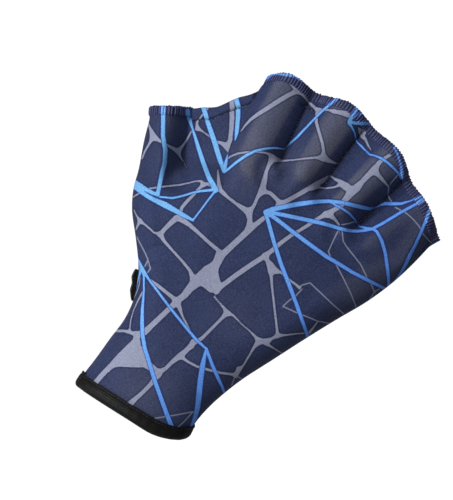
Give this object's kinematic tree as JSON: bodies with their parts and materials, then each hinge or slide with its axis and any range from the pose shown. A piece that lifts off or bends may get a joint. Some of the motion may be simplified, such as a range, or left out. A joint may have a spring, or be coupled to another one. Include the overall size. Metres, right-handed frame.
{
  "type": "webbed swim glove",
  "caption": "Right-hand neoprene swim glove with flat webs between open finger tubes, overlocked finger edges and a taped wrist opening.",
  "frame": {"origin": "middle of the wrist opening, in the plane of the cuff's edge", "axes": "+Z from the wrist to the fingers, -Y the back of the hand, +X the little finger's side"},
  "size_m": [0.148, 0.0446, 0.1727],
  "materials": {
    "printed_neoprene": "matte jersey, navy with a grey and blue line print",
    "black_neoprene": "matte jersey",
    "hem_thread": "overlock thread with a soft sheen",
    "black_tape": "ribbed binding tape",
    "black_strap": "brushed loop fabric"
  },
  "bodies": {
    "root": {"back_panel": "printed_neoprene", "palm_panel": "black_neoprene", "finger_hem": "hem_thread", "thumb_hem": "hem_thread", "web_fold": "printed_neoprene", "cuff_binding": "black_tape", "wrist_strap": "black_strap"}
  },
  "joints": []
}
